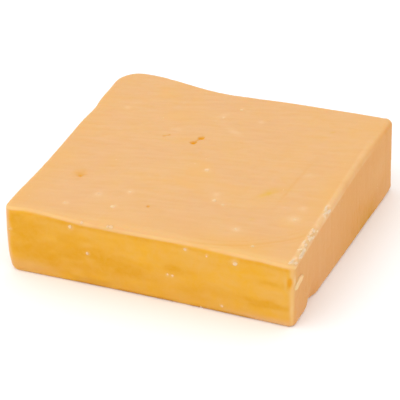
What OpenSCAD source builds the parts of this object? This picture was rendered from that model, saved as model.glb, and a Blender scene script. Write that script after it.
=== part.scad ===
// A slab of cheddar, cut from a larger block and left uneven by hand.
// Millimetres. +X runs along the front face, +Y to the back, +Z up.
// The origin is the middle of the slab's own footprint, on the surface it lies on.

/* [Slab] */
// Width along the front face
slab_w = 119; // [80:1:200]
// Depth from the front face to the back face
slab_d = 114; // [80:1:200]
// Height before the corners are lifted or worn
slab_h = 30; // [20:1:60]
// How much of the foot is pressed flat by the slab's own weight
foot_press = 0.5; // [0.2:0.1:0.8]

/* [Top] */
// How far the top stands above slab_h at the front left corner
lift_front_left = -0.2; // [-3:0.1:4]
// How far the top stands above slab_h at the front right corner
lift_front_right = -1.3; // [-3:0.1:4]
// How far the top stands above slab_h at the back right corner
lift_back_right = 3.0; // [-3:0.1:4]
// How far the top stands above slab_h at the back left corner
lift_back_left = 0; // [-3:0.1:4]
// Height of the arch in the top along the front face
front_arch = 1.5; // [0:0.1:3]
// Half length of that arch
front_arch_l = 25; // [10:1:40]
// How far left of the middle that arch is highest
front_arch_left = 4.5; // [0:0.5:15]

/* [Edges] */
// Radius of the upright edge at the front left, seen from above
edge_front_left = 4; // [3:0.5:16]
// Radius of the upright edge at the front right
edge_front_right = 3; // [3:0.5:16]
// Radius of the upright edge at the back right
edge_back_right = 3; // [3:0.5:16]
// Radius of the upright edge at the back left, the softest corner
edge_back_left = 10; // [3:0.5:16]
// Radius of the rim round the top
top_rim = 2.2; // [1:0.1:3]
// Radius of the rim round the foot
foot_rim = 2.6; // [1:0.1:3]

/* [Front face] */
// Depth of the hollow along the foot of the front face
front_hollow = 2.0; // [0:0.1:3]
// Where that hollow is deepest, to the right of the middle
front_hollow_right = 0; // [-40:1:40]
// Half length of that hollow
front_hollow_l = 90; // [20:1:120]
// Height up the front face over which that hollow dies away
front_hollow_h = 9; // [4:1:20]

/* [Back face] */
// How far the back face swells out at its left end
back_swell = 5.0; // [0:0.1:8]
// Length from the left over which that swell holds
back_swell_flat = 11; // [5:1:20]
// Length from the left at which that swell has died away
back_swell_end = 47; // [30:1:70]
// Depth of the hollow in the back face where the swell ends
back_hollow = 0.9; // [0:0.1:3]
// Half length of that hollow
back_hollow_l = 16; // [8:1:30]

/* [Right face] */
// How far the right face swells out at its back end
right_swell = 2.0; // [0:0.1:4]
// Half length of that swell
right_swell_l = 26; // [10:1:50]
// How far the foot of the right face spreads
foot_spread = 1.1; // [0:0.1:3]
// Half length of that spread foot
foot_spread_l = 30; // [10:1:50]
// Height up the right face over which that spread dies away
foot_spread_h = 12; // [4:1:20]
// Depth of the dent in the foot of the right face
foot_dent = 1.6; // [0:0.1:3]
// Half length of that dent
foot_dent_l = 4; // [2:0.5:10]
// Height up the right face over which that dent dies away
foot_dent_h = 7; // [3:0.5:15]
// Distance of that dent from the front face
foot_dent_y = 21; // [12:1:40]

/* [Left face] */
// How far the left face swells out at its front end
left_swell = 1.2; // [0:0.1:3]
// Half length of that swell
left_swell_l = 22; // [10:1:40]
// How far the foot of the left face is tucked in
left_tuck = 1.0; // [0:0.1:2]
// Height up the left face over which that tuck dies away
left_tuck_h = 4; // [2:0.5:10]
// Depth of the dent in the left face
left_dent = 0.8; // [0:0.1:2]
// Half length of that dent
left_dent_l = 6; // [3:0.5:12]
// Distance of that dent from the back face
left_dent_y = 32; // [20:1:60]

/* [Openings in the curd] */
// Radius of the two joined openings in the top
top_opening_r = 1.4; // [0.8:0.1:2.5]
// Distance between the middles of those two
top_opening_gap = 4.5; // [3:0.1:6]
// Radius of the two joined openings high on the front right edge
edge_opening_r = 1.1; // [0.6:0.1:2]
// Distance between the middles of those two
edge_opening_gap = 1.8; // [1:0.1:4]
// Distance of those two below the top
edge_opening_drop = 7.5; // [5:0.5:12]

/* [Hidden] */

cheese_colour = [0.93, 0.72, 0.42];
rim_steps = 3;         // grid lines across each rim
cell = 4.8;            // widest spacing of the grid lines between the rims
half_w = slab_w / 2;
half_d = slab_d / 2;
raw_h = slab_h + foot_press;

// Where along each face the hollows, swells and dents sit, from the slab's middle.
back_hollow_x = -half_w + back_swell_end + 5;
right_swell_y = half_d - 3;
foot_spread_y = 15;
foot_dent_at = -half_d + foot_dent_y;
left_swell_y = -half_d + 5;
left_dent_at = half_d - left_dent_y;

// Where the openings lie, and how far the pair in the top is turned from +X.
top_opening_at = [-7.5, 14.5];
top_opening_turn = 68;
edge_opening_at = [half_w - 1.4, -half_d + 0.4];
passage_share = 0.5;   // radius of the passage between two joined openings, over theirs

// 0 up to a, 1 from b on, and a smooth ramp between them.
function ramp(a, b, x) =
    let (t = min(1, max(0, (x - a) / (b - a)))) t * t * (3 - 2 * t);

// 1 at the centre c, dying away over a length l on either side.
function swell(c, l, x) = exp(-pow((x - c) / l, 2));

// Turns a square's corner into a quarter disc: the longer side becomes the radius.
function square_to_disc(a, b) = a + b == 0 ? [0, 0] : [a, b] * max(a, b) / norm([a, b]);

// Lines across one direction of the box: close over the two rims, even between them.
function grid_lines(from, to, rim_a, rim_b) =
    let (span = to - from - rim_a - rim_b, n = ceil(span / cell))
    concat(
        [for (i = [0 : rim_steps - 1]) from + rim_a * i / rim_steps],
        [for (i = [0 : n]) from + rim_a + span * i / n],
        [for (i = [1 : rim_steps]) to - rim_b + rim_b * i / rim_steps]
    );

function edge_radius(x, y) =
    y < 0 ? (x < 0 ? edge_front_left : edge_front_right)
          : (x < 0 ? edge_back_left : edge_back_right);

// A point of the sharp box, moved onto the box with round upright edges and rims.
function rounded(p) =
    let (
        r = edge_radius(p.x, p.y),
        core = [min(abs(p.x), half_w - r), min(abs(p.y), half_d - r)],
        off = square_to_disc(abs(p.x) - core.x, abs(p.y) - core.y),
        flat = core + off,
        in_corner = off.x > 0 && off.y > 0,
        to_side = [half_w - flat.x, half_d - flat.y],
        gap = max(0, in_corner ? r - norm(off) : min(to_side.x, to_side.y)),
        out = in_corner ? off / norm(off) : (to_side.x < to_side.y ? [1, 0] : [0, 1]),
        upper = p.z > raw_h / 2,
        rim = upper ? top_rim : foot_rim,
        depth = upper ? raw_h - p.z : p.z,
        roll = square_to_disc(max(0, rim - gap), max(0, rim - depth)),
        new_gap = gap < rim ? rim - roll[0] : gap,
        new_depth = depth < rim ? rim - roll[1] : depth,
        xy = flat + out * (gap - new_gap)
    )
    [sign(p.x) * xy.x, sign(p.y) * xy.y, upper ? raw_h - new_depth : new_depth];

// How far the top stands above slab_h at a point seen from above.
function top_lift(x, y) =
    let (u = x / slab_w + 0.5, v = y / slab_d + 0.5)
    (1 - u) * (1 - v) * lift_front_left + u * (1 - v) * lift_front_right
    + u * v * lift_back_right + (1 - u) * v * lift_back_left
    + front_arch * (1 - v) * swell(-front_arch_left, front_arch_l, x);

// How far each face moves outwards at a point, in full at the face itself.
function front_move(x, z) =
    -front_hollow * swell(front_hollow_right, front_hollow_l, x) * swell(0, front_hollow_h, z);
function back_move(x) =
    back_swell * (1 - ramp(-half_w + back_swell_flat, -half_w + back_swell_end, x))
    - back_hollow * swell(back_hollow_x, back_hollow_l, x);
function right_move(y, z) =
    right_swell * swell(right_swell_y, right_swell_l, y)
    + foot_spread * swell(foot_spread_y, foot_spread_l, y) * swell(0, foot_spread_h, z)
    - foot_dent * swell(foot_dent_at, foot_dent_l, y) * swell(0, foot_dent_h, z);
function left_move(y, z) =
    left_swell * swell(left_swell_y, left_swell_l, y)
    - left_dent * swell(left_dent_at, left_dent_l, y)
    - left_tuck * swell(0, left_tuck_h, z);

// The rounded box's point, moved by the uneven top and the waves of the four faces.
function uneven(p) =
    let (sx = p.x / half_w, sy = p.y / half_d)
    [
        p.x + max(0, sx) * right_move(p.y, p.z) - max(0, -sx) * left_move(p.y, p.z),
        p.y + max(0, sy) * back_move(p.x) - max(0, -sy) * front_move(p.x, p.z),
        p.z * (1 + top_lift(p.x, p.y) / slab_h) - foot_press
    ];

// The skin: rings of points up the four faces, and the insides of the two flat faces.
xs = grid_lines(-half_w, half_w, top_rim, top_rim);
ys = grid_lines(-half_d, half_d, top_rim, top_rim);
zs = grid_lines(0, raw_h, foot_rim, top_rim);
nx = len(xs) - 1;
ny = len(ys) - 1;
nz = len(zs) - 1;
ring = 2 * (nx + ny);
top_start = ring * (nz + 1);
foot_start = top_start + (nx - 1) * (ny - 1);

function ring_xy(k) =
    k < nx ? [xs[k], ys[0]]
    : k < nx + ny ? [xs[nx], ys[k - nx]]
    : k < 2 * nx + ny ? [xs[2 * nx + ny - k], ys[ny]]
    : [xs[0], ys[ring - k]];
function ring_index(i, j) =
    j == 0 ? i : i == nx ? nx + j : j == ny ? 2 * nx + ny - i : ring - j;
function on_ring(i, j) = i == 0 || j == 0 || i == nx || j == ny;
function flat_index(i, j, level, start) =
    on_ring(i, j) ? level * ring + ring_index(i, j) : start + (i - 1) * (ny - 1) + j - 1;

function inner_points(z) =
    [for (i = [1 : nx - 1]) for (j = [1 : ny - 1]) [xs[i], ys[j], z]];
function skin_points() =
    let (walls = [for (z = zs) for (k = [0 : ring - 1]) concat(ring_xy(k), z)])
    [for (p = concat(walls, inner_points(raw_h), inner_points(0))) uneven(rounded(p))];

// A four-sided cell as two triangles, wound clockwise seen from outside.
function two_triangles(a, b, c, d) = [[a, b, c], [a, c, d]];
function wall_faces() =
    [for (j = [0 : nz - 1]) for (k = [0 : ring - 1])
        let (a = j * ring + k, b = j * ring + (k + 1) % ring)
        each two_triangles(a, a + ring, b + ring, b)];
function flat_cell(i, j, level, start) =
    [for (c = [[0, 0], [0, 1], [1, 1], [1, 0]]) flat_index(i + c.x, j + c.y, level, start)];
function top_faces() =
    [for (i = [0 : nx - 1]) for (j = [0 : ny - 1])
        let (c = flat_cell(i, j, nz, top_start)) each two_triangles(c[0], c[1], c[2], c[3])];
function foot_faces() =
    [for (i = [0 : nx - 1]) for (j = [0 : ny - 1])
        let (c = flat_cell(i, j, 0, foot_start)) each two_triangles(c[0], c[3], c[2], c[1])];

// The whole skin, with its foot still round underneath.
module slab() {
    polyhedron(
        points = skin_points(),
        faces = concat(wall_faces(), top_faces(), foot_faces()),
        convexity = 4
    );
}

// What the surface under the slab presses flat.
module pressed_away() {
    reach = slab_w + slab_d;
    translate([-reach, -reach, -2 * foot_press])
        cube([2 * reach, 2 * reach, 2 * foot_press]);
}

// Two round openings a gap apart along +X, and the narrow passage between their middles.
module joined_openings(r, gap) {
    for (side = [-1, 1])
        translate([side * gap / 2, 0, 0])
            sphere(r = r);
    rotate([0, 90, 0])
        cylinder(r = passage_share * r, h = gap, center = true);
}

// A pair half sunk in the top.
module top_openings() {
    z = slab_h + top_lift(top_opening_at.x, top_opening_at.y);
    translate([top_opening_at.x, top_opening_at.y, z])
        rotate([0, 0, top_opening_turn])
            joined_openings(top_opening_r, top_opening_gap);
}

// A pair one above the other in the front right upright edge.
module edge_openings() {
    z = slab_h + top_lift(half_w, -half_d) - edge_opening_drop;
    translate([edge_opening_at.x, edge_opening_at.y, z])
        rotate([0, 90, 0])
            joined_openings(edge_opening_r, edge_opening_gap);
}

// Where the middle of the uneven skin lies, seen from above.
function middle(values) = (min(values) + max(values)) / 2;
function skin_middle() =
    let (points = skin_points())
    [middle([for (p = points) p.x]), middle([for (p = points) p.y]), 0];

module cheese_block() {
    color(cheese_colour)
        translate(-skin_middle())
            difference() {
                slab();
                pressed_away();
                top_openings();
                edge_openings();
            }
}

cheese_block();
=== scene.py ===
"""A slab of cheddar: its uneven skin, openings, crystals, crumbs and a lifted flake, in soft studio light.

Shapes are worked out in millimetres in the slab's own frame: +X along the front cut face, +Y to the back,
+Z up, with the origin in the middle of the even slab that the swells and lifts are added to.
"""
import math

import bpy
import numpy as np
from mathutils import Matrix, Vector


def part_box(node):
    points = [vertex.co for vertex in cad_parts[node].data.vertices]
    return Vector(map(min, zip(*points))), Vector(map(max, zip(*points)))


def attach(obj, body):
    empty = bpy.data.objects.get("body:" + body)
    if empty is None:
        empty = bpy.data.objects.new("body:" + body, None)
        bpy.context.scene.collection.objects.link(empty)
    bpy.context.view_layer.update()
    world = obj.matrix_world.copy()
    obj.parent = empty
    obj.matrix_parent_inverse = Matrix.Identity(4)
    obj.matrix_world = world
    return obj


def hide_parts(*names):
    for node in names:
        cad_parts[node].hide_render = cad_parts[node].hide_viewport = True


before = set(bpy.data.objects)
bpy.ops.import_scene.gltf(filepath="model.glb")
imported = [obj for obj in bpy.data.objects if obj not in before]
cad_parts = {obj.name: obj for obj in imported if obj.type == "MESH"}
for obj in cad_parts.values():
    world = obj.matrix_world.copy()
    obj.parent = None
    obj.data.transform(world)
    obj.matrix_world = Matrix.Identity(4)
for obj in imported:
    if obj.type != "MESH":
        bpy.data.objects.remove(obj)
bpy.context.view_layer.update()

MM = 0.001
BLOCK_NODE = "cheese_block"
CHEESE_SLOT = "cheddar"
CRYSTAL_SLOT = "curd_crystals"

# The uneven slab: how far its corners are lifted, and the radii of its upright edges and rims.
LIFT_FRONT_LEFT = -0.2
LIFT_FRONT_RIGHT = -1.3
LIFT_BACK_RIGHT = 3.0
LIFT_BACK_LEFT = 0.0
EDGE_FRONT_LEFT = 4.0
EDGE_FRONT_RIGHT = 3.0
EDGE_BACK_RIGHT = 3.0
EDGE_BACK_LEFT = 10.0
TOP_RIM = 2.2
FOOT_RIM = 2.6
FOOT_PRESS = 0.5

# How far the faces swell out, or are hollowed, dented and tucked in.
FRONT_ARCH = 1.5
FRONT_HOLLOW = 2.0
BACK_SWELL = 5.0
BACK_HOLLOW = 0.9
RIGHT_SWELL = 2.0
FOOT_SPREAD = 1.1
FOOT_DENT = 1.6
LEFT_SWELL = 1.2
LEFT_DENT = 0.8
LEFT_TUCK = 1.0

# Spacing of the skin's grid lines: in the open, over a rim, over the openings and over the slit.
OPEN_STEP = 0.68
RIM_STEP = 0.42
FINE_STEP = 0.34
SLIT_STEP = 0.5
FOOT_RINGS = 5
# The slab's size is fitted to the solid's box on a coarse grid, in a few rounds.
COARSE_STEP = 2.0
FIT_ROUNDS = 4
# How squarely a point has to face one way to begin, and to be wholly, on that side.
FACING = (0.35, 0.9)

# Heights and depths of the skin's relief.
BROAD_WAVES = 0.20
SHORT_WAVES = 0.09
KNIT_DEPTH = 0.08
KNIT_LUMPS = 0.035
TOP_DRAG = 0.022
LEVEL_MARKS = 0.020
UPRIGHT_MARKS = 0.030
ARC_DEPTH = 0.08
SCRATCH_DEPTH = 0.14
SCRATCH_BURR = 0.05
DISH_DEPTH = 0.28
DISH_LIP = 0.08

# Places on the skin, in the slab's own frame.

# Pits in the top: each one's place, radius and depth, how dark it is (painted shade and deeper orange) and
# how ragged.
TOP_PITS = [
    ((-8.6, 12.6), 1.35, 0.95, 1.0, 0.22),  # the two joined openings
    ((-6.8, 17.0), 1.30, 0.95, 1.0, 0.22),
    ((-22.0, 14.1), 0.45, 0.45, 0.7, 0.0),  # the two ends of the slit
    ((-20.3, 15.5), 0.55, 0.45, 0.7, 0.0),
    ((-41.6, -24.9), 1.00, 0.45, 0.6, 0.0),  # in the dish
    ((-6.8, -38.8), 0.75, 0.50, 0.7, 0.0),  # the pinhole
]
# Passages between two of those pits: the pits' numbers, its width and depth, and how dark it is (painted
# shade and deeper orange).
TOP_PASSAGES = [(0, 1, 0.5, 0.5, 0.6), (2, 3, 0.5, 0.3, 0.5)]
DISH = (-42.1, -24.0)
# The tall opening: how far in from the right and how high it lies, half its width and height, its depth.
EDGE_OPENING = (1.35, 20.9)
EDGE_OPENING_HALF = (1.0, 2.6)
EDGE_OPENING_DEPTH = 0.75
# Curved marks: their common centre, and each one's radius, width and strength.
ARC_CENTRE = (7.0, 12.0)
ARCS = [(63.6, 0.3, 0.35), (65.6, 0.35, 0.5), (68.5, 0.75, 1.0), (70.4, 0.4, 0.5)]
# The scratch: where it crosses y = SCRATCH_ROOT, and how it leans and bends from there.
SCRATCH_ROOT = -24
SCRATCH_LINE = (38.6, 0.06, 0.0006)
# Stretches of the crumbled right rim: from y, to y, and how crumbled.
CRUMBLED_EDGE = [(-54.0, -44.5, 1.0), (-43.0, -29.5, 1.0), (-19.5, -12.5, 0.8), (-29.5, -19.5, 0.25)]
# Soft ellipses on the top: x, y, half length, half width, turn in radians and strength.
STAINS = [
    (33.0, -12.1, 3.9, 1.5, 0.95, 1.1), (33.3, -31.8, 1.5, 0.8, 0.4, 0.5), (41.8, 38.4, 1.1, 0.7, 0.6, 0.5),
]
SMEARS = [
    (5.0, 25.0, 8.5, 1.6, -0.55, 1.0), (-19.5, 20.5, 3.5, 1.5, 0.2, 0.9), (-5.5, 36.5, 3.5, 1.6, 0.9, 0.7),
    (16, -23, 5, 2.5, 0.1, 0.5), (-29, -37, 6, 2.5, 0.3, 0.4), (49, -27, 5, 3, 0.3, 0.4),
    (43.2, 5, 3, 1.8, -0.6, 0.6), (-43, 36, 4, 2, 0.3, 0.4),
]
# Deep golden patches on the cut face, and one broad patch of painted shade: x, z, half length, half height
# and strength.
GOLD_AND_SHADE_PATCHES = [
    (-52, 24, 6, 9, 0.8), (-47, 12, 11, 2.6, 0.9), (-8, 12.3, 8, 2.8, 1.0), (-16, 14, 7, 3, 0.6),
    (10, 16.8, 7, 2.2, 1.0), (-22, 20, 6, 2.4, 0.5), (22, 9, 8, 4, 0.4), (49, 9.2, 10, 2.0, 1.5),
    (52, 19.2, 8, 1.2, 0.8), (44, 28, 16, 1.5, 0.8), (-28, 28.6, 22, 1.5, 1.1), (2, 28.4, 12, 1.4, 0.7),
    # The broad patch at the left, (-46, 16), is painted shade: it darkens the left end of the cut face.
    (-46, 16, 22, 14, 0.7), (-18, 12, 30, 9, 0.35),
]
# Pale crystals that show most, and soft pale spots: x, y and radius on the top, x, z and radius on the
# front, x and radius along the front rim. Crystals on the front are cut smaller than their smears.
TOP_CRYSTALS = [
    (4.6, -5.5, 1.10), (15.1, -24.9, 0.85), (19.5, -26.5, 0.60), (-19.2, -43.0, 0.90), (-17.7, -31.1, 0.50),
    (-29.1, -36.1, 0.50), (-38.4, -46.0, 0.45), (30.4, -40.7, 0.60), (40.1, -48.6, 0.60), (49.0, -26.1, 0.80),
    (0.3, 44.9, 0.60), (-4.4, 35.9, 0.50),
]
SOFT_SPOTS = [
    (49.0, -26.1, 1.8), (14.4, -20.5, 1.0), (-17.7, -31.1, 1.3), (-29.1, -36.1, 1.2), (30.4, -40.7, 1.5),
    (11.5, 37.0, 1.0), (49.4, -18.0, 1.2), (-45.0, 31.0, 1.0), (-38.4, -46.0, 1.0),
]
FRONT_CRYSTALS = [
    (-31.8, 26.9, 0.95), (-24.9, 16.4, 0.70), (16.1, 27.6, 0.65), (35.9, 26.4, 1.05), (8.3, 14.2, 0.55),
    (10.2, 14.0, 0.50), (30.0, 4.3, 0.65), (-57.6, 20.6, 0.50), (24.8, 27.0, 0.45),
]
FRONT_CRYSTAL_SHARE = 0.85
RIM_CRYSTALS = [(-26.9, 0.55), (-15.0, 0.9), (-15.9, 0.5)]
RANDOM_CRYSTALS = 11
CRYSTAL_SHAPE = (1.15, 0.95, 0.42)
CRUMB_COUNT = 70
FLAKE_LENGTH = 7.8
FLAKE_HALF_WIDTH = 1.65


# ---------------------------------------------------------------- shape helpers

def ramp(a, b, x):
    """0 up to a, 1 from b on, and a smooth cubic ramp between them."""
    t = np.clip((x - a) / (b - a), 0, 1)
    return t * t * (3 - 2 * t)


def swell(centre, length, x):
    """A bell: 1 at the centre, falling as exp(-(distance / length) squared)."""
    return np.exp(-(((x - centre) / length) ** 2))


def between(a, b, soft, x):
    """1 from a to b, fading to 0 over the length soft beyond each end."""
    return ramp(a - soft, a, x) * (1 - ramp(b, b + soft, x))


class Lumps:
    """Smooth random lumps from -1 to 1.

    A lattice of seeded values, blended along each axis by the cubic ramp.
    """

    SIDE = 32

    def __init__(self, seed):
        self.values = np.random.default_rng(seed).uniform(-1, 1, (self.SIDE,) * 3)

    def __call__(self, points, size):
        cells = points / np.asarray(size, float)
        low = np.floor(cells).astype(int)
        part = cells - low
        part = part * part * (3 - 2 * part)
        total = np.zeros(len(points))
        for corner in np.ndindex(2, 2, 2):
            corner = np.array(corner)
            i, j, k = ((low + corner) % self.SIDE).T
            share = np.where(corner, part, 1 - part).prod(axis=1)
            total += share * self.values[i, j, k]
        return total

    def layered(self, points, size, layers=3):
        """Lumps of one size plus finer ones, each layer half as large and half as high."""
        shift = np.array([3.7, 1.3, 5.9])
        parts = [self(points + shift * n, np.asarray(size, float) / 2**n) / 2**n for n in range(layers)]
        return sum(parts) / (2 - 2.0 ** (1 - layers))


def square_to_disc(a, b):
    """Turns a square's corner into a quarter disc: the longer of the two sides becomes the radius."""
    length = np.hypot(a, b)
    share = np.maximum(a, b) / np.maximum(length, 1e-9)
    return a * share, b * share


# ---------------------------------------------------------------- the uneven slab

def rounded(points, size):
    """The sharp box's points moved onto the box with round upright edges and rims."""
    half_w, half_d, height = size[0] / 2, size[1] / 2, size[2] + FOOT_PRESS
    x, y, z = points.T
    front, left = y < 0, x < 0
    radius = np.where(front, np.where(left, EDGE_FRONT_LEFT, EDGE_FRONT_RIGHT),
                      np.where(left, EDGE_BACK_LEFT, EDGE_BACK_RIGHT))
    core_x = np.minimum(abs(x), half_w - radius)
    core_y = np.minimum(abs(y), half_d - radius)
    off_x, off_y = square_to_disc(abs(x) - core_x, abs(y) - core_y)
    flat_x, flat_y = core_x + off_x, core_y + off_y
    in_corner = (off_x > 0) & (off_y > 0)
    off = np.maximum(np.hypot(off_x, off_y), 1e-9)
    to_x, to_y = half_w - flat_x, half_d - flat_y
    gap = np.maximum(0, np.where(in_corner, radius - off, np.minimum(to_x, to_y)))
    out_x = np.where(in_corner, off_x / off, to_x < to_y)
    out_y = np.where(in_corner, off_y / off, to_x >= to_y)
    upper = z > height / 2
    rim = np.where(upper, TOP_RIM, FOOT_RIM)
    depth = np.where(upper, height - z, z)
    roll_gap, roll_depth = square_to_disc(np.maximum(0, rim - gap), np.maximum(0, rim - depth))
    new_gap = np.where(gap < rim, rim - roll_gap, gap)
    new_depth = np.where(depth < rim, rim - roll_depth, depth)
    flat_x = flat_x + out_x * (gap - new_gap)
    flat_y = flat_y + out_y * (gap - new_gap)
    new_z = np.where(upper, height - new_depth, new_depth)
    return np.stack([np.sign(x) * flat_x, np.sign(y) * flat_y, new_z], 1)


def top_lift(x, y, size):
    """How far the top stands above the slab's height: its corners' lifts, blended, and the front arch."""
    u, v = x / size[0] + 0.5, y / size[1] + 0.5
    corners = ((1 - u) * (1 - v) * LIFT_FRONT_LEFT + u * (1 - v) * LIFT_FRONT_RIGHT
               + u * v * LIFT_BACK_RIGHT + (1 - u) * v * LIFT_BACK_LEFT)
    return corners + FRONT_ARCH * (1 - v) * swell(-4.5, 25, x)


def uneven(points, size):
    """Adds the lifted top and each face's swells, hollows and dents, in full at that face."""
    half_w, half_d = size[0] / 2, size[1] / 2
    x, y, z = points.T
    front = -FRONT_HOLLOW * swell(0, 90, x) * swell(0, 9, z)
    back = (BACK_SWELL * (1 - ramp(11 - half_w, 47 - half_w, x))
            - BACK_HOLLOW * swell(52 - half_w, 16, x))
    right = (RIGHT_SWELL * swell(half_d - 3, 26, y)
             + FOOT_SPREAD * swell(15, 30, y) * swell(0, 12, z)
             - FOOT_DENT * swell(21 - half_d, 4, y) * swell(0, 7, z))
    left = (LEFT_SWELL * swell(5 - half_d, 22, y)
            - LEFT_DENT * swell(half_d - 32, 6, y)
            - LEFT_TUCK * swell(0, 4, z))
    share_x, share_y = x / half_w, y / half_d
    return np.stack([
        x + np.maximum(0, share_x) * right - np.maximum(0, -share_x) * left,
        y + np.maximum(0, share_y) * back - np.maximum(0, -share_y) * front,
        z * (1 + top_lift(x, y, size) / size[2]) - FOOT_PRESS,
    ], 1)


def box_lines(length, step, fine_parts=()):
    """Grid lines across a length, as close as step, closer over each (from, to, step) of fine_parts.

    They are evenly spaced along the running sum of 1 / spacing.
    """
    at = np.linspace(-length / 2, length / 2, 6000)
    spacing = np.full_like(at, step)
    for start, end, fine in fine_parts:
        spacing = np.minimum(spacing, np.where((at > start) & (at < end), fine, step))
    running = np.concatenate([[0], np.cumsum(2 / (spacing[1:] + spacing[:-1]) * np.diff(at))])
    count = math.ceil(running[-1])
    return np.interp(np.linspace(0, running[-1], count + 1), running, at)


def skin_grid(size, step, fine=True):
    """The sharp box's skin, as points and faces.

    Rings of points run from under the foot up the four walls, and the top is a grid inside the last ring.
    Under the foot the rings are the wall's ring drawn in towards the middle, and one flat face closes it.
    """
    half = size / 2
    height = size[2] + FOOT_PRESS

    def side_lines(length, first_rim, last_rim, *details):
        """Grid lines along one side, closer over the rims at its two ends and over details."""
        end = length / 2
        rims = [(-end, first_rim - end, RIM_STEP), (end - last_rim, end, RIM_STEP)]
        return box_lines(length, step, [*rims, *details] if fine else [])

    xs = side_lines(size[0], 3, 4, (-10.5, -4.5, FINE_STEP), (-23.5, -19, SLIT_STEP))
    ys = side_lines(size[1], 3, 3, (10.5, 18.8, FINE_STEP))
    zs = side_lines(height, 3, 3) + height / 2
    nx, ny = len(xs) - 1, len(ys) - 1
    around = np.concatenate([
        np.stack([xs[:-1], np.full(nx, ys[0])], 1),
        np.stack([np.full(ny, xs[-1]), ys[:-1]], 1),
        np.stack([xs[:0:-1], np.full(nx, ys[-1])], 1),
        np.stack([np.full(ny, xs[0]), ys[:0:-1]], 1),
    ])
    ring = len(around)
    insets = np.linspace(1.3 * FOOT_RIM, 0, FOOT_RINGS, endpoint=False)
    levels = [(1 - inset / half[:2], 0.0) for inset in insets] + [(np.ones(2), z) for z in zs]
    rings = [np.column_stack([around * share, np.full(ring, z)]) for share, z in levels]
    inside = np.stack(np.meshgrid(xs[1:-1], ys[1:-1], [height], indexing="ij"), -1).reshape(-1, 3)
    points = np.concatenate(rings + [inside])

    row = np.arange(ring)
    low = (np.arange(len(rings) - 1) * ring)[:, None]
    a, b = low + row, low + (row + 1) % ring
    walls = np.stack([a, b, b + ring, a + ring], -1).reshape(-1, 4)
    index = np.empty((nx + 1, ny + 1), int)
    last = (len(rings) - 1) * ring
    index[:-1, 0] = last + np.arange(nx)
    index[-1, :-1] = last + nx + np.arange(ny)
    index[:0:-1, -1] = last + nx + ny + np.arange(nx)
    index[0, :0:-1] = last + 2 * nx + ny + np.arange(ny)
    index[1:-1, 1:-1] = last + ring + np.arange((nx - 1) * (ny - 1)).reshape(nx - 1, ny - 1)
    top = np.stack([index[:-1, :-1], index[1:, :-1], index[1:, 1:], index[:-1, 1:]], -1).reshape(-1, 4)
    return points, np.concatenate([walls, top]), row[::-1]


def even_size():
    """The even slab's width, depth and height: the solid's box, less what the swells and lifts add to it."""
    low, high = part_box(BLOCK_NODE)
    wanted = (np.array(high) - np.array(low)) / MM
    size = wanted.copy()
    for _ in range(FIT_ROUNDS):
        points = uneven(rounded(skin_grid(size, COARSE_STEP, fine=False)[0], size), size)
        spread = points.max(0) - np.maximum(points.min(0), [-np.inf, -np.inf, 0])
        size = size + wanted - spread
    return size, (points.max(0) + points.min(0)) / 2 * [1, 1, 0]


SIZE, SKIN_MIDDLE = even_size()
HALF_W, HALF_D, HEIGHT = SIZE[0] / 2, SIZE[1] / 2, SIZE[2]


def near_front(far, near, y):
    """1 within near of the front wall, falling to 0 at far behind it."""
    return ramp(far - HALF_D, near - HALF_D, y)


def outward(points, faces):
    """Each point's outward direction: the sum of its faces' normals, weighted by their areas."""
    a, b, c, d = (points[faces[:, n]] for n in range(4))
    normals = np.cross(c - a, d - b)
    total = np.zeros_like(points)
    for n in range(4):
        np.add.at(total, faces[:, n], normals)
    return total / np.maximum(np.linalg.norm(total, axis=1, keepdims=True), 1e-12)


# ---------------------------------------------------------------- relief and masks

waves = Lumps(11)
knit = Lumps(23)
grit = Lumps(37)
streaks = Lumps(41)


def hand_waves(points):
    """Shallow waves left by the wire and the hand: two sizes of lumps, dying away at the foot."""
    return (BROAD_WAVES * waves(points, 24) + SHORT_WAVES * waves(points, 9)) * ramp(0, 5, points[:, 2])


def curd_knit(points):
    """Faint grooves where curds knit together: narrow valleys along the zeros of layered lumps."""
    field = knit.layered(points, 5.5)
    return -KNIT_DEPTH * swell(0, 0.07, field) + KNIT_LUMPS * knit(points, 1.9)


def wire_drag(points, along, across, gap, length):
    """Fine ridges dragged along one direction: lumps stretched to length along it and gap across it."""
    along, across = np.asarray(along, float), np.asarray(across, float)
    stretched = np.stack([points @ along / length, points @ across / gap, 0 * points[:, 0]], 1)
    return streaks(stretched, 1) + 0.6 * streaks(stretched * [1.7, 2.3, 1] + 9, 1)


def pit(points, at, radius, depth):
    """A round pit with a soft lip, as its relief and its mask.

    It is a hemisphere inside the radius, on a bell that reaches just outside it.
    """
    away = np.linalg.norm(points[:, : len(at)] - at, axis=1) / radius
    bowl = np.sqrt(np.maximum(0, 1 - away**2))
    return -depth * (0.85 * bowl + 0.15 * swell(0, 0.9, away)), ramp(1.25, 0.55, away)


def groove(points, start, end, width, depth):
    """A V-shaped groove from start to end, shallower towards its ends, as its relief and its mask."""
    start, end = np.asarray(start, float), np.asarray(end, float)
    run = end - start
    t = np.clip((points[:, :2] - start) @ run / (run @ run), 0, 1)
    away = np.linalg.norm(points[:, :2] - start - t[:, None] * run, axis=1)
    relief = -depth * np.maximum(0, 1 - away / width) * (0.35 + 0.65 * np.sin(np.pi * t))
    return relief, ramp(width, 0.3 * width, away)


def ellipse(points, at_x, at_y, long, short, turn, strength):
    """A soft ellipse seen from above: one bell along its turned length times one across it."""
    x, y = points[:, 0] - at_x, points[:, 1] - at_y
    along = x * math.cos(turn) + y * math.sin(turn)
    across = y * math.cos(turn) - x * math.sin(turn)
    return strength * swell(0, long, along) * swell(0, short, across)


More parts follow.
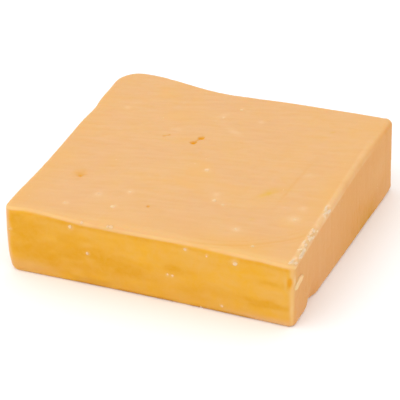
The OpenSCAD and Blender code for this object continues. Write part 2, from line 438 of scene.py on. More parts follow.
class Skin:
    """The block's skin: its points, faces, outward directions, and the masks that its material reads."""

    def __init__(self):
        self.source, self.faces, self.foot = skin_grid(SIZE, OPEN_STEP)
        base = uneven(rounded(self.source, SIZE), SIZE)
        normal = outward(base, self.faces)
        self.sides(base, normal)
        height = self.relief(base)
        points = base + normal * height[:, None]
        points[:, 2] = np.maximum(points[:, 2], 0)
        self.points = points
        self.normal = outward(points, self.faces)

    def sides(self, base, normal):
        """How much each point belongs to the top, the front and the right, by the way it faces.

        Also how far it is below the top, past the front rim and round the front right upright edge. The
        front rim's line is raised, so that it lies higher at the left and the right than in the middle.
        """
        self.up = ramp(*FACING, normal[:, 2])
        self.front = ramp(*FACING, -normal[:, 1])
        self.right = ramp(*FACING, normal[:, 0])
        x, y, z = base.T
        self.below = HEIGHT + top_lift(x, y, SIZE) - z
        rise = (1.9 * (1 - ramp(-50, -18, x)) - 0.8 * (1 - ramp(-58, -50, x)) - 0.45 * swell(-9, 9, x)
                + 1.35 * ramp(-2, 24, x) * (1 - 0.3 * ramp(46, 54, x)))
        self.over_rim = self.below - 0.56 * (y + HALF_D) + rise
        self.round_edge = (x - HALF_W) + (y + HALF_D)

    def relief(self, p):
        """Height of the skin over the smooth slab, added up from its parts. It also sets the masks."""
        height = hand_waves(p) + curd_knit(p) * (1 - 0.5 * self.front)
        top_height, scratch_mask = self.top_marks(p)
        height += top_height + self.wall_marks(p)
        pits, opening, dish_mask = self.top_openings(p)
        tall, tall_mask, pale_lip = self.tall_opening(p)
        crumbled = self.crumbling(p)
        height += pits + tall + crumbled * (0.02 * grit(p, 1.2) + 0.04 * grit(p, 2.4) - 0.01)

        self.masks = {
            # Openings: painted shade and their deeper orange.
            "opening": np.maximum(opening, tall_mask),
            "dish": dish_mask,
            "crumbled": crumbled * ramp(-0.5, 0.6, grit(p, (0.9, 1.8, 0.9))),
            # Rim: painted highlight.
            "rim": self.rim_highlight_mask(p),
            "cut": self.cut_mask(p),
            "gold": self.gold_and_shade_mask(p),
            "shade": self.right,
            "warm": self.warm_mask(p),
            "yellow": self.yellow_mask(p),
            "smear": np.maximum(self.smear_mask(p), 0.9 * pale_lip),
            "stain": self.up * self.stain_mask(p),
            # Foot: painted shade.
            "foot": self.foot_shade_mask(p),
            "scratch": scratch_mask,
        }
        return height

    def top_marks(self, p):
        """Marks of the wire on the top, as their relief and the mask of the darker ones.

        They are ridges dragged almost along X, grooves that are parts of rings round one centre, near the
        front right corner, and a scratch along a slightly bent line with a burr beside it.
        """
        x, y, _ = p.T
        drag = wire_drag(p, along=(0.98, 0.2, 0), across=(-0.2, 0.98, 0), gap=1.1, length=14)
        from_centre = np.hypot(x - ARC_CENTRE[0], y - ARC_CENTRE[1])
        turn = np.degrees(np.arctan2(y - ARC_CENTRE[1], x - ARC_CENTRE[0]))
        swept = between(-76, -44, 9, turn)
        wander = from_centre + 0.5 * waves(p, 15)
        arcs = sum(strength * swell(radius, width, wander) for radius, width, strength in ARCS)

        at, lean, bend = SCRATCH_LINE
        run = y - SCRATCH_ROOT
        off_scratch = x - (at + lean * run + bend * run**2)
        fading = between(-24, 18, 5, y) * (0.35 + 0.65 * between(-10, 8, 6, y))
        fading = fading * np.clip(0.8 + 0.5 * grit(p, 3), 0, 1)
        scratch = SCRATCH_BURR * swell(0.9, 0.4, off_scratch) - SCRATCH_DEPTH * swell(0, 0.42, off_scratch)
        mask = np.maximum(fading * swell(0, 0.7, off_scratch), swept * np.minimum(arcs, 1))
        return self.up * (TOP_DRAG * drag - ARC_DEPTH * swept * arcs + fading * scratch), self.up * mask

    def wall_marks(self, p):
        """A knife's marks: level ones on the front, stronger to the right, and upright ones on the right."""
        level = wire_drag(p, along=(1, 0, 0), across=(0, 0, 1), gap=0.8, length=18)
        upright = wire_drag(p, along=(0, 0, 1), across=(0, 1, 0), gap=0.9, length=22)
        return (LEVEL_MARKS * self.front * level * (0.4 + 0.6 * ramp(15, 40, p[:, 0]))
                + UPRIGHT_MARKS * self.right * upright)

    def top_openings(self, p):
        """Pits, passages and the dish in the top: their relief, how dark they are (painted shade in the
        hollows, and their deeper orange), and the dish's mask.
        """
        x, y, _ = p.T
        wobble = np.stack([grit(p, 1.3), grit(p + 7, 1.3), 0 * x], 1)
        shapes = [(*pit(p + ragged * radius * wobble, at, radius, depth), dark)
                  for at, radius, depth, dark, ragged in TOP_PITS]
        shapes += [(*groove(p, TOP_PITS[first][0], TOP_PITS[second][0], width, depth), dark)
                   for first, second, width, depth, dark in TOP_PASSAGES]
        opening = np.maximum.reduce([dark * mask for _, mask, dark in shapes])
        away = np.hypot(x - DISH[0], y - DISH[1]) + 0.5 * grit(p, 1.8)
        dish = DISH_DEPTH * swell(0, 2.3, away) - DISH_LIP * swell(3.4, 0.9, away)
        height = self.up * (sum(deep for deep, _, _ in shapes) - dish)
        return height, self.up * opening, self.up * swell(0, 2.6, away)

    def tall_opening(self, p):
        """The tall opening in the front right upright edge: its relief, how dark it is as painted shade and
        deeper orange, and its pale lips.

        Seen from the front it is an ellipse's pit. A wide lip lies on its right and a narrow one on its left.
        """
        x, y, z = p.T
        across = (x - HALF_W + EDGE_OPENING[0]) / EDGE_OPENING_HALF[0]
        upward = (z - EDGE_OPENING[1]) / EDGE_OPENING_HALF[1]
        deep, mask = pit(np.stack([across, upward], 1), (0.0, 0.0), 1.0, EDGE_OPENING_DEPTH)
        in_front = near_front(3.0, 1.0, y)
        lips = swell(2.3, 0.9, self.round_edge) + 0.2 * swell(-3.0, 0.5, self.round_edge)
        pale_lip = lips * ramp(0.3, 0.6, self.right + self.front) * swell(EDGE_OPENING[1], 3.0, z)
        return in_front * deep, 0.95 * in_front * mask, pale_lip

    def crumbling(self, p):
        """How crumbled each point of the right rim is: a band round the rim times each stretch's strength."""
        past_rim = self.below - 0.8 * np.maximum(0, HALF_W - p[:, 0])
        rim = between(-1.5, 1.1, 0.7, past_rim)
        return rim * sum(share * between(start, end, 1.5, p[:, 1]) for start, end, share in CRUMBLED_EDGE)

    def rim_highlight_mask(self, p):
        """The painted highlight: a pale band where the top rolls over its front rim, and down the front right
        edge.
        """
        x, y, _ = p.T
        to_right = ramp(-10, 25, x)
        broken = np.clip(0.8 + 0.5 * grit.layered(p, 7.0), 0, 1)
        rolled = between(0.8, 1.7, 0.6, self.over_rim) * broken * (0.85 + 0.15 * to_right)
        behind = 0.45 * self.up * near_front(6.5, 2.5, y) * (0.5 + 0.5 * to_right)
        near_rim = near_front(7, 3, y) * (1 - ramp(2.2, 3.0, self.below))
        corner = 0.9 * swell(HALF_W - 0.8, 0.8, x) * near_front(3.0, 1.6, y)
        corner = corner * np.clip(0.85 + 0.4 * grit(p, 3), 0, 1)
        return np.maximum(np.maximum(rolled, behind) * near_rim, corner)

    def right_rim_mask(self, p):
        """The pale band where the top rolls over its right rim, fading towards the back."""
        x, y, _ = p.T
        band = between(-1.0, 1.9, 0.9, self.below) * ramp(HALF_W - 2.9, HALF_W - 1.8, x)
        fading = 0.75 - 0.3 * ramp(-15, 10, y) - 0.4 * ramp(22, 46, y)
        return band * (0.75 + 0.25 * knit(p, 5)) * ramp(-HALF_D, -HALF_D + 5, y) * fading

    def cut_mask(self, p):
        """The golden cut face: the front wall below its rim and between its edges, ragged at its borders."""
        x, y, z = p.T
        ragged = 0.55 * grit.layered(p, (9.0, 5.0, 5.0))
        below_rim = ramp(1.2, 2.8, self.over_rim + ragged)
        off_left = ramp(-HALF_W - 0.3, -HALF_W + 2.2, x + 2 * ragged)
        off_right = ramp(HALF_W + 0.4, HALF_W - 1.4, x + 1.2 * ragged)
        dull_foot = 1 - (1 - ramp(0.8, 4.5, z)) * 0.9 * ramp(22, 48, x + 4 * ragged)
        dull_foot -= 0.4 * (1 - ramp(3, 9, z)) * (1 - ramp(-50, -34, x + 4 * ragged))
        return below_rim * off_left * off_right * dull_foot * near_front(5.5, 4.0, y)

    def gold_and_shade_mask(self, p):
        """Where the cut face is deeply golden: soft patches, level lumps, and a line under its rim. The broad
        patch at the left is painted shade, darkening that end of the face.
        """
        x, _, z = p.T
        total = sum(strength * swell(at_x, long, x) * swell(at_z, high, z)
                    for at_x, at_z, long, high, strength in GOLD_AND_SHADE_PATCHES)
        total = 1.25 * total * np.clip(0.8 + 0.7 * knit(p, (5, 5, 2.2)), 0, 1.3)
        total = total + 0.35 * knit.layered(p + 40, (9, 9, 3.5))
        under_rim = 0.9 * swell(3.1, 0.9, self.over_rim) * np.clip(0.55 + 0.9 * waves(p, (16, 9, 9)), 0, 1)
        return self.front * np.clip(np.maximum(total, under_rim), 0, 1)

    def warm_mask(self, p):
        """Warmer, darker skin on the right face: low down, at its front and back, and in upright bands."""
        _, y, z = p.T
        low = between(0, 32, 9, y) * (1 - ramp(9, 21, z)) * (0.75 + 0.5 * knit(p, (9, 6, 6)))
        front_part = 0.45 * (1 - ramp(-52, -25, y)) * ramp(2, 9, z) * (0.8 + 0.5 * knit(p, 7))
        back_part = 0.5 * ramp(-16, 4, y) * ramp(3, 10, z) * (0.85 + 0.5 * knit(p, 7))
        upright = 0.8 * swell(47.5, 1.2, y) + 0.6 * swell(52, 1.5, y) + 0.4 * swell(10, 2.5, y)
        return np.clip(self.right * (np.maximum.reduce([low, front_part, back_part]) + 0.35 * upright), 0, 1)

    def yellow_mask(self, p):
        """Yellower skin along the top's borders, most in its front right corner, and in a few clouds."""
        x, y, _ = p.T
        front_border = ramp(-34, -56, y) * (0.45 + 0.55 * ramp(0, 45, x)) * (0.7 + 0.6 * waves(p, 13))
        right_border = ramp(42, 60, x) * 0.6 * (0.6 + 0.6 * knit(p, 8))
        left_border = ramp(-42, -58, x) * (0.4 + 0.5 * waves(p, 12))
        back_rim = 0.9 * ramp(HALF_D - 4, HALF_D - 1, y) * ramp(5, 25, x) * (0.7 + 0.6 * knit(p, 6))
        clouds = 0.5 * ramp(0.1, 0.7, waves.layered(p + 17, (22, 12, 22)))
        borders = np.maximum.reduce([front_border, right_border, left_border, back_rim])
        return np.clip(self.up * np.maximum(borders, clouds), 0, 1)

    def smear_mask(self, p):
        """Pale smears of dried whey.

        They are ellipses broken up by lumps on the top, one on the right face, the right rim's band, and a
        soft round one at each crystal and soft spot.
        """
        x, y, z = p.T
        broken = np.clip(0.6 + 0.7 * knit.layered(p, 4.5), 0, 1)
        total = 0.75 * self.up * broken * sum(ellipse(p, *smear) for smear in SMEARS)
        total += 0.15 * self.right * swell(38, 10, y) * swell(17, 7, z) + self.right_rim_mask(p)
        for at_x, at_y, radius in TOP_CRYSTALS + SOFT_SPOTS:
            total += 0.65 * self.up * swell(0, 1.35 * radius, np.hypot(x - at_x, y - at_y))
        for at_x, at_z, radius in FRONT_CRYSTALS:
            away = np.hypot(x - at_x, z - at_z + FOOT_PRESS)
            total += 0.55 * self.front * swell(0, 1.2 * radius, away)
        return np.clip(total, 0, 1)

    def stain_mask(self, p):
        """Yellow stains on the top: soft ellipses, broken by lumps."""
        return sum(ellipse(p, *stain) for stain in STAINS) * np.clip(0.85 + 0.4 * grit(p, 1.6), 0, 1)

    def foot_shade_mask(self, p):
        """Darker painted shade along the front foot, where it turns under, most in three parts of it, and low
        on the right face.
        """
        x, y, z = p.T
        parts = np.maximum.reduce([between(-30, -20, 4, x), between(-12, 8, 5, x), between(19, 40, 5, x)])
        upper = 0.45 * between(-30, -18, 4, x) * (1 - ramp(2.5, 4.5, z))
        front_foot_shade = np.maximum.reduce([(1 - ramp(0.6, 2.0, z)) * parts, upper, 0.08 * (1 - ramp(1, 6, z))])
        low_right_shade = swell(25, 12, y) * np.maximum(1 - ramp(2, 5.5, z), 0.5 * (1 - ramp(3, 12, z)))
        return np.maximum(front_foot_shade * near_front(6, 3, y),
                          self.right * low_right_shade * (0.85 + 0.5 * knit(p, 5)))

    def nearest(self, target, side):
        """The skin point nearest to a place on one side, read in the sharp box: its index."""
        flat = np.abs(self.source - target) * np.where(np.arange(3) == side, 8, 1)
        return int(np.argmin((flat**2).sum(1)))


# ---------------------------------------------------------------- meshes

def make_mesh(name, points, faces, masks=None):
    """A smooth-shaded piece from points in millimetres and faces given as lists of point numbers."""
    mesh = bpy.data.meshes.new(name)
    mesh.from_pydata(((points - SKIN_MIDDLE) * MM).tolist(), [], faces)
    mesh.polygons.foreach_set("use_smooth", np.ones(len(mesh.polygons), bool))
    for key, values in (masks or {}).items():
        layer = mesh.attributes.new(key, "FLOAT", "POINT")
        layer.data.foreach_set("value", np.asarray(values, np.float32))
    mesh.update()
    piece = bpy.data.objects.new(name, mesh)
    bpy.context.scene.collection.objects.link(piece)
    return piece


def ball_grid(rows, columns):
    """A unit ball's points and faces: rows of rings between two poles."""
    tilt = np.linspace(0, math.pi, rows + 1)[1:-1]
    turn = np.linspace(0, 2 * math.pi, columns, endpoint=False)
    tilt, turn = np.meshgrid(tilt, turn, indexing="ij")
    rings = np.stack([np.sin(tilt) * np.cos(turn), np.sin(tilt) * np.sin(turn), np.cos(tilt)], -1)
    rings = rings.reshape(-1, 3)
    points = np.concatenate([rings, [[0, 0, 1], [0, 0, -1]]])
    k = np.arange(columns)
    after = (k + 1) % columns
    low = (np.arange(rows - 2) * columns)[:, None]
    sides = np.stack([low + k, low + columns + k, low + columns + after, low + after], -1).reshape(-1, 4)
    top = np.stack([np.full(columns, len(rings)), k, after], 1)
    foot = (rows - 2) * columns
    bottom = np.stack([np.full(columns, len(rings) + 1), foot + after, foot + k], 1)
    return points, sides, np.concatenate([top, bottom])


def scattered(name, centres, normals, sizes, sink, seed, spread=None, rows=6, columns=8):
    """Many small uneven lumps in one mesh.

    Each is a ball stretched to its three sizes along one tangent (random, or as near as it goes to spread),
    the other tangent and the outward direction, its surface moved in and out by lumps, and sunk below the
    skin by a share of its height.
    """
    rng = np.random.default_rng(seed)
    ball, quads, triangles = ball_grid(rows, columns)
    count = len(centres)
    side = rng.normal(size=(count, 3)) if spread is None else spread
    side = side - (side * normals).sum(1, keepdims=True) * normals
    side /= np.linalg.norm(side, axis=1, keepdims=True)
    third = np.cross(normals, side)
    bumps = grit((ball[None] * 1.3 + rng.uniform(0, 30, (count, 1, 3))).reshape(-1, 3), 1).reshape(count, -1)
    local = ball[None] * (1 + 0.34 * bumps[..., None]) * sizes[:, None, :]
    axes = np.stack([side, third, normals], 1)
    middles = centres - (sink * sizes[:, 2])[:, None] * normals
    points = middles[:, None] + np.einsum("nvk,nkx->nvx", local, axes)
    starts = np.arange(count)[:, None, None] * len(ball)
    faces = (quads[None] + starts).reshape(-1, 4).tolist()
    faces += (triangles[None] + starts).reshape(-1, 3).tolist()
    return make_mesh(name, points.reshape(-1, 3), faces)


def make_block(skin):
    faces = skin.faces.tolist() + [skin.foot.tolist()]
    block = make_mesh("cheddar_block", skin.points, faces, skin.masks)
    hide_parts(BLOCK_NODE)
    return block


def make_crystals(skin):
    """Pale crystals, half sunk in the skin: the placed ones, and small ones at random.

    Each target is a place on the sharp box, the axis that its side faces along (0 X, 1 Y, 2 Z) and a radius.
    """
    rng = np.random.default_rng(5)
    top = HEIGHT + FOOT_PRESS
    targets = [((x, y, top), 2, r) for x, y, r in TOP_CRYSTALS]
    targets += [((x, -HALF_D, z), 1, FRONT_CRYSTAL_SHARE * r) for x, z, r in FRONT_CRYSTALS]
    targets += [((x, -HALF_D, top - 0.4), 1, r) for x, r in RIM_CRYSTALS]
    for _ in range(RANDOM_CRYSTALS):
        targets.append(((HALF_W, rng.uniform(-50, 52), rng.uniform(4, 27)), 0, rng.uniform(0.15, 0.22)))
        targets.append(((-HALF_W, rng.uniform(-50, 46), rng.uniform(4, 27)), 0, rng.uniform(0.3, 0.7)))
        targets.append(((rng.uniform(-48, 54), HALF_D, rng.uniform(4, 27)), 1, rng.uniform(0.3, 0.7)))
        targets.append(((rng.uniform(-54, 54), rng.uniform(-50, 54), top), 2, rng.uniform(0.15, 0.28)))
    found = np.array([skin.nearest(np.array(place), side) for place, side, _ in targets])
    radius = np.array([r for _, _, r in targets])
    sizes = radius[:, None] * np.array(CRYSTAL_SHAPE) * rng.uniform(0.85, 1.2, (len(radius), 3))
    return scattered("curd_crystals", skin.points[found], skin.normal[found], sizes, 0.2, 6)


def make_crumbs(skin):
    """Torn crumbs: short flat slivers, nearly along the right rim, closest where it crumbles most."""
    rng = np.random.default_rng(8)
    weight = skin.masks["crumbled"] ** 1.5
    found = rng.choice(len(weight), CRUMB_COUNT, replace=False, p=weight / weight.sum())
    length = rng.uniform(0.45, 1.25, len(found))
    sizes = length[:, None] * rng.uniform([1.0, 0.25, 0.10], [1.0, 0.38, 0.17], (len(found), 3))
    along = np.array([0.35, 1.0, 0.0]) + rng.normal(0, 0.22, (len(found), 3))
    return scattered("edge_crumbs", skin.points[found], skin.normal[found], sizes, 0.2, 9, spread=along)


def make_flake(skin):
    """A lifted flake beside the tall opening.

    Along s it runs from its root up the right face, along t across its width; it is widest at a third of its
    length, and stands off the face towards its tip and sides. A second sheet, inside the block, closes it.
    """
    s, t = np.meshgrid(np.linspace(0, 1, 29), np.linspace(-1, 1, 15), indexing="ij")
    width = np.sin(np.pi * np.clip(0.10 + 0.87 * s, 0, 1)) ** 0.8 * (1 + 0.14 * np.sin(11 * s + t))
    aside = FLAKE_HALF_WIDTH * t * width
    along = FLAKE_LENGTH * s
    lift = 0.05 + 0.50 * s**1.6 + 0.35 * t**2
    thick = 0.24 * (1 - t**2) * np.sin(np.pi * np.clip(0.06 + 0.9 * s, 0, 1)) + 0.03
    buried = -lift - 0.6
    root = skin.points[skin.nearest(np.array([HALF_W, -HALF_D + 2.3, 18.7]), 0)]
    run = np.array([0.0, 0.965, 0.26])
    out = np.array([1.0, 0.0, 0.0])
    cross = np.cross(out, run)

    def sheet(offset):
        """One sheet of the flake: the root plus its length, its width and its height off the face."""
        steps = along[..., None] * run + aside[..., None] * cross + (lift + offset)[..., None] * out
        return (root + steps).reshape(-1, 3)

    points = np.concatenate([sheet(thick), sheet(buried)])
    index = np.arange(s.size).reshape(s.shape)
    outer = np.stack([index[:-1, :-1], index[1:, :-1], index[1:, 1:], index[:-1, 1:]], -1).reshape(-1, 4)
    inner = outer[:, ::-1] + s.size
    border = np.concatenate([index[:, 0], index[-1, 1:], index[-2::-1, -1], index[0, -2:0:-1]])
    following = np.roll(border, -1)
    seam = np.stack([border, border + s.size, following + s.size, following], 1)
    return make_mesh("corner_flake", points, np.concatenate([outer, inner, seam]).tolist())


# ---------------------------------------------------------------- materials

SKIN_COLOUR = (0.712, 0.403, 0.162, 1)
SKIN_WARM = (0.712, 0.384, 0.118, 1)
SKIN_YELLOW = (0.740, 0.403, 0.122, 1)
SKIN_STREAK = (0.735, 0.435, 0.205, 1)
SKIN_PINK = (0.694, 0.378, 0.168, 1)
SHADED_SKIN = (0.688, 0.338, 0.115, 1)
WARM = (0.665, 0.305, 0.070, 1)
SMEAR = (0.768, 0.490, 0.245, 1)
STAIN = (0.690, 0.385, 0.040, 1)
GOLD = (0.752, 0.378, 0.019, 1)
DEEP_GOLD = (0.676, 0.314, 0.004, 1)
DULL_GOLD = (0.730, 0.389, 0.078, 1)
# Painted highlight on the front rim and the front right edge; also the flake's pale patches.
RIM_HIGHLIGHT_AND_FLAKE_PALE = (0.785, 0.490, 0.188, 1)
# Painted shade in the openings, with their own deeper orange.
OPENING_SHADE_AND_ORANGE = (0.745, 0.325, 0.001, 1)
DISH_STAIN = (0.695, 0.330, 0.058, 1)
# Painted shade along the foot.
FOOT_SHADE = (0.590, 0.265, 0.016, 1)
LIFTED_PALE = (0.810, 0.520, 0.260, 1)
CRUMB_PALE = (0.940, 0.650, 0.400, 1)
CRYSTAL_PALE = (0.845, 0.540, 0.302, 1)


def new_group(name, inputs, outputs):
    """An empty shader node group with named float or colour sockets."""
    group = bpy.data.node_groups.new(name, "ShaderNodeTree")
    for label, kind, value in inputs:
        socket = group.interface.new_socket(label, in_out="INPUT", socket_type=kind)
        if value is not None:
            socket.default_value = value
    for label, kind in outputs:
        group.interface.new_socket(label, in_out="OUTPUT", socket_type=kind)
    return group, group.nodes.new("NodeGroupInput"), group.nodes.new("NodeGroupOutput")


def add_node(tree, kind, links=None, **settings):
    """A node with its settings, and its inputs set to values or linked to other nodes' outputs."""
    node = tree.nodes.new(kind)
    for key, value in settings.items():
        setattr(node, key, value)
    for key, value in (links or {}).items():
        if isinstance(value, bpy.types.NodeSocket):
            tree.links.new(value, node.inputs[key])
        else:
            node.inputs[key].default_value = value
    return node


def mottle_group():
    """Curd mottling: layered noise pulls a colour towards a second one in soft patches."""
    group, inside, outside = new_group(
        "curd_mottling",
        [("Colour", "NodeSocketColor", (1, 1, 1, 1)), ("Patch colour", "NodeSocketColor", (1, 1, 1, 1)),
         ("Scale", "NodeSocketFloat", 100.0), ("Amount", "NodeSocketFloat", 0.5)],
        [("Colour", "NodeSocketColor")])
    place = add_node(group, "ShaderNodeTexCoord").outputs["Object"]
    noise = add_node(group, "ShaderNodeTexNoise", {"Vector": place, "Scale": inside.outputs["Scale"],
                                                   "Detail": 4.0, "Roughness": 0.6, "Distortion": 0.6})
    patches = add_node(group, "ShaderNodeMapRange", {"Value": noise.outputs["Fac"],
                                                     "From Min": 0.36, "From Max": 0.66})
    share = add_node(group, "ShaderNodeMath", {0: patches.outputs["Result"], 1: inside.outputs["Amount"]},
                     operation="MULTIPLY")
    mix = add_node(group, "ShaderNodeMix", {"Factor": share.outputs[0], "A": inside.outputs["Colour"],
                                            "B": inside.outputs["Patch colour"]}, data_type="RGBA")
    group.links.new(mix.outputs["Result"], outside.inputs["Colour"])
    return group


def streak_group():
    """Drag streaks: noise stretched along one direction, as a mask."""
    group, inside, outside = new_group(
        "drag_streaks",
        [("Stretch", "NodeSocketVector", (40.0, 900.0, 900.0)),
         ("Turn", "NodeSocketVector", (0.0, 0.0, 0.0))],
        [("Mask", "NodeSocketFloat")])
    place = add_node(group, "ShaderNodeTexCoord").outputs["Object"]
    turned = add_node(group, "ShaderNodeMapping", {"Vector": place, "Rotation": inside.outputs["Turn"]})
    scaled = add_node(group, "ShaderNodeVectorMath",
                      {0: turned.outputs["Vector"], 1: inside.outputs["Stretch"]}, operation="MULTIPLY")
    noise = add_node(group, "ShaderNodeTexNoise", {"Vector": scaled.outputs["Vector"], "Scale": 1.0,
                                                   "Detail": 3.0, "Roughness": 0.55})
    mask = add_node(group, "ShaderNodeMapRange", {"Value": noise.outputs["Fac"],
                                                  "From Min": 0.35, "From Max": 0.68})
    group.links.new(mask.outputs["Result"], outside.inputs["Mask"])
    return group


def grain_group():
    """Fine pores and grain of pressed curd, as a height and a share of roughness."""
    group, inside, outside = new_group(
        "curd_grain", [("Scale", "NodeSocketFloat", 1500.0)],
        [("Height", "NodeSocketFloat"), ("Roughness", "NodeSocketFloat")])
    place = add_node(group, "ShaderNodeTexCoord").outputs["Object"]
    noise = add_node(group, "ShaderNodeTexNoise", {"Vector": place, "Scale": inside.outputs["Scale"],
                                                   "Detail": 2.0})
    rough = add_node(group, "ShaderNodeMapRange", {"Value": noise.outputs["Fac"],
                                                   "To Min": 0.46, "To Max": 0.66})
    group.links.new(noise.outputs["Fac"], outside.inputs["Height"])
    group.links.new(rough.outputs["Result"], outside.inputs["Roughness"])
    return group


MOTTLE = mottle_group()
STREAK = streak_group()
GRAIN = grain_group()


def use_group(tree, group, links=None):
    """A node that places a group in a tree, with its inputs set or linked."""
    return add_node(tree, "ShaderNodeGroup", links, node_tree=group)


def new_material(name):
    """An empty material, its node tree and its shader."""
    material = bpy.data.materials.new(name)
    material.use_nodes = True
    tree = material.node_tree
    return material, tree, tree.nodes["Principled BSDF"]


def set_cheese_body(shader, subsurface):
    """The waxy, slightly translucent body that all cheese here shares."""
    shader.inputs["Subsurface Weight"].default_value = subsurface
    shader.inputs["Subsurface Radius"].default_value = (1.0, 0.45, 0.15)
    shader.inputs["Subsurface Scale"].default_value = 0.0025
    shader.inputs["Specular IOR Level"].default_value = 0.28
    shader.inputs["IOR"].default_value = 1.42


def mixed(tree, share, first, second):
    """The first colour turned into the second by a share, itself a value or a socket."""
    mix = add_node(tree, "ShaderNodeMix", {"Factor": share, "A": first, "B": second}, data_type="RGBA")
    return mix.outputs["Result"]


def product(tree, first, second):
    """Two values multiplied."""
    return add_node(tree, "ShaderNodeMath", {0: first, 1: second}, operation="MULTIPLY").outputs[0]


def mask_of(tree, name):
    """One of the masks that the skin carries."""
    return add_node(tree, "ShaderNodeAttribute", attribute_name=name).outputs["Fac"]


def block_material():
    """The block: a dull pale skin, a golden mottled cut face, pale rims that are painted highlight, openings
    darkened partly by painted shade, painted shade along the foot, and pale crumbling.

    The skin, the golden face and the shaded right face are made first, and the masks lay the rest over them.
    """
    material, tree, shader = new_material("cheddar")
    set_cheese_body(shader, 0.25)
    skin = use_group(tree, MOTTLE, {"Colour": SKIN_COLOUR, "Patch colour": SKIN_WARM,
                                    "Scale": 150.0, "Amount": 0.7})
    pinker = use_group(tree, MOTTLE, {"Colour": skin.outputs["Colour"], "Patch colour": SKIN_PINK,
                                      "Scale": 40.0, "Amount": 0.8})
    drag = use_group(tree, STREAK, {"Stretch": (80.0, 480.0, 480.0), "Turn": (0.0, 0.0, -0.2)})
    streaked = product(tree, drag.outputs["Mask"], 0.55)
    skin_colour = mixed(tree, streaked, pinker.outputs["Colour"], SKIN_STREAK)
    upright = use_group(tree, STREAK, {"Stretch": (300.0, 300.0, 45.0)})
    gold = use_group(tree, MOTTLE, {"Colour": GOLD, "Patch colour": DULL_GOLD,
                                    "Scale": 85.0, "Amount": 0.9})
    level = use_group(tree, STREAK, {"Stretch": (90.0, 90.0, 330.0)})
    gold_colour = mixed(tree, product(tree, level.outputs["Mask"], 0.25), gold.outputs["Colour"], DEEP_GOLD)
    # The gold mask's broad patch at the left is painted shade.
    gold_colour = mixed(tree, mask_of(tree, "gold"), gold_colour, DEEP_GOLD)
    fine = use_group(tree, MOTTLE, {"Colour": gold_colour, "Patch colour": DULL_GOLD,
                                    "Scale": 330.0, "Amount": 0.25})
    shaded = mixed(tree, product(tree, upright.outputs["Mask"], 0.42), SHADED_SKIN, WARM)
    colour = mixed(tree, mask_of(tree, "shade"), skin_colour, shaded)
    colour = mixed(tree, mask_of(tree, "warm"), colour, WARM)
    colour = mixed(tree, mask_of(tree, "yellow"), colour, SKIN_YELLOW)
    colour = mixed(tree, mask_of(tree, "cut"), colour, fine.outputs["Colour"])
    # Painted highlight: the pale band over the front rim and down the front right edge.
    colour = mixed(tree, mask_of(tree, "rim"), colour, RIM_HIGHLIGHT_AND_FLAKE_PALE)
    colour = mixed(tree, mask_of(tree, "smear"), colour, SMEAR)
    colour = mixed(tree, product(tree, mask_of(tree, "scratch"), 0.4), colour, DISH_STAIN)
    colour = mixed(tree, mask_of(tree, "stain"), colour, STAIN)
    colour = mixed(tree, product(tree, mask_of(tree, "dish"), 0.8), colour, DISH_STAIN)
    # Painted shade in the openings and passages, with their deeper orange.
    colour = mixed(tree, mask_of(tree, "opening"), colour, OPENING_SHADE_AND_ORANGE)
    # Painted shade along the front foot and low on the right face.
    colour = mixed(tree, mask_of(tree, "foot"), colour, FOOT_SHADE)
    colour = mixed(tree, product(tree, mask_of(tree, "crumbled"), 0.55), colour, CRUMB_PALE)
    tree.links.new(colour, shader.inputs["Base Color"])
    grain = use_group(tree, GRAIN, {"Scale": 1400.0})
    tree.links.new(grain.outputs["Roughness"], shader.inputs["Roughness"])
    height = add_node(tree, "ShaderNodeMath", {0: grain.outputs["Height"], 1: drag.outputs["Mask"]},
                      operation="ADD")
    bump = add_node(tree, "ShaderNodeBump", {"Height": height.outputs[0], "Strength": 0.25,
                                             "Distance": 0.0002})
    tree.links.new(bump.outputs["Normal"], shader.inputs["Normal"])
    return material


def pale_material(name, colour, patch):
    """Dry pale curd, for crystals, crumbs and the flake."""
    material, tree, shader = new_material(name)
    set_cheese_body(shader, 0.3)
    mottle = use_group(tree, MOTTLE, {"Colour": colour, "Patch colour": patch,
                                      "Scale": 900.0, "Amount": 0.6})
    tree.links.new(mottle.outputs["Colour"], shader.inputs["Base Color"])
    grain = use_group(tree, GRAIN, {"Scale": 2500.0})
    tree.links.new(grain.outputs["Roughness"], shader.inputs["Roughness"])
    bump = add_node(tree, "ShaderNodeBump", {"Height": grain.outputs["Height"], "Strength": 0.3,
                                             "Distance": 0.0001})
    tree.links.new(bump.outputs["Normal"], shader.inputs["Normal"])
    return material


# ---------------------------------------------------------------- stage, light and camera

def make_floor():
    """A plain pale floor, far wider than the view."""
    mesh = bpy.data.meshes.new("floor")
    reach = 3.0
    corners = [(-reach, -reach, 0), (reach, -reach, 0), (reach, reach, 0), (-reach, reach, 0)]
    mesh.from_pydata(corners, [], [(0, 1, 2, 3)])
    floor = bpy.data.objects.new("floor", mesh)
    bpy.context.scene.collection.objects.link(floor)
    material, _, shader = new_material("pale_floor")
    shader.inputs["Base Color"].default_value = (0.97, 0.97, 0.97, 1)
    shader.inputs["Roughness"].default_value = 0.9
    shader.inputs["Specular IOR Level"].default_value = 0.1
    mesh.materials.append(material)


def make_light(name, azimuth, elevation, distance, side, power):
    """A square soft light aimed at the block from an azimuth (0 in front, 90 right) and an elevation."""
    a, e = math.radians(azimuth), math.radians(elevation)
    back = Vector((math.sin(a) * math.cos(e), -math.cos(a) * math.cos(e), math.sin(e)))
    data = bpy.data.lights.new(name, "AREA")
    data.size = side
    data.energy = power
    light = bpy.data.objects.new(name, data)
    light.location = back * distance
    light.rotation_euler = back.to_track_quat("Z", "Y").to_euler()
    bpy.context.scene.collection.objects.link(light)


def make_surroundings(strength):
    """An even white light from all round."""
    world = bpy.data.worlds.new("studio")
    world.use_nodes = True
    world.node_tree.nodes["Background"].inputs["Color"].default_value = (1, 1, 1, 1)
    world.node_tree.nodes["Background"].inputs["Strength"].default_value = strength
    bpy.context.scene.world = world


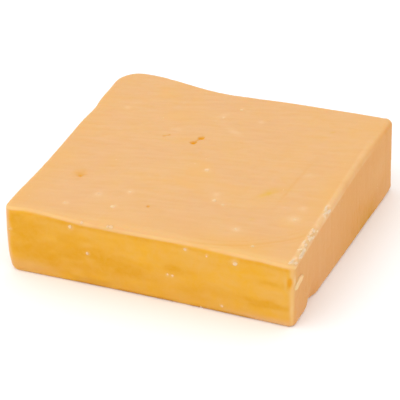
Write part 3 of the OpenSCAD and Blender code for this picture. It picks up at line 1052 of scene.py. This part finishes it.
def make_camera(azimuth, elevation, roll, distance, lens, aside, above):
    """A long-lens camera that looks at the block from an azimuth and an elevation.

    It is moved aside and above in its own plane, and rolled about its own axis.
    """
    a, e, r = (math.radians(v) for v in (azimuth, elevation, roll))
    back = Vector((math.sin(a) * math.cos(e), -math.cos(a) * math.cos(e), math.sin(e)))
    level = Vector((0, 0, 1)).cross(back).normalized()
    upright = back.cross(level)
    right = level * math.cos(r) + upright * math.sin(r)
    up = upright * math.cos(r) - level * math.sin(r)
    target = Vector(-SKIN_MIDDLE * MM) + Vector((0, 0, HEIGHT / 2 * MM))
    place = target + back * distance + right * aside + up * above
    data = bpy.data.cameras.new("camera")
    data.lens = lens
    data.sensor_width = 36
    data.clip_start = 0.05
    data.clip_end = 20
    camera = bpy.data.objects.new("camera", data)
    camera.matrix_world = Matrix((
        (right.x, up.x, back.x, place.x),
        (right.y, up.y, back.y, place.y),
        (right.z, up.z, back.z, place.z),
        (0, 0, 0, 1),
    ))
    bpy.context.scene.collection.objects.link(camera)
    bpy.context.scene.camera = camera


# ---------------------------------------------------------------- the whole

skin = Skin()
block = make_block(skin)
crystals = make_crystals(skin)
crumbs = make_crumbs(skin)
flake = make_flake(skin)

cheese = block_material()
crystal_look = pale_material("pale_crystals", CRYSTAL_PALE, SMEAR)
crumb_look = pale_material("torn_curd", CRUMB_PALE, SMEAR)
flake_look = pale_material("lifted_curd", LIFTED_PALE, RIM_HIGHLIGHT_AND_FLAKE_PALE)

for piece, look, slot in [(block, cheese, CHEESE_SLOT), (crystals, crystal_look, CRYSTAL_SLOT),
                          (crumbs, crumb_look, CRYSTAL_SLOT), (flake, flake_look, CHEESE_SLOT)]:
    piece.data.materials.append(look)
    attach(piece, "root")

make_floor()
make_surroundings(strength=1.09)
make_light("key", azimuth=-38, elevation=52, distance=1.2, side=0.9, power=2.9)
make_camera(azimuth=22.1, elevation=31.3, roll=-0.75, distance=1.1205, lens=252,
            aside=-0.00081, above=-0.0016)
bpy.context.scene.view_settings.view_transform = "Standard"
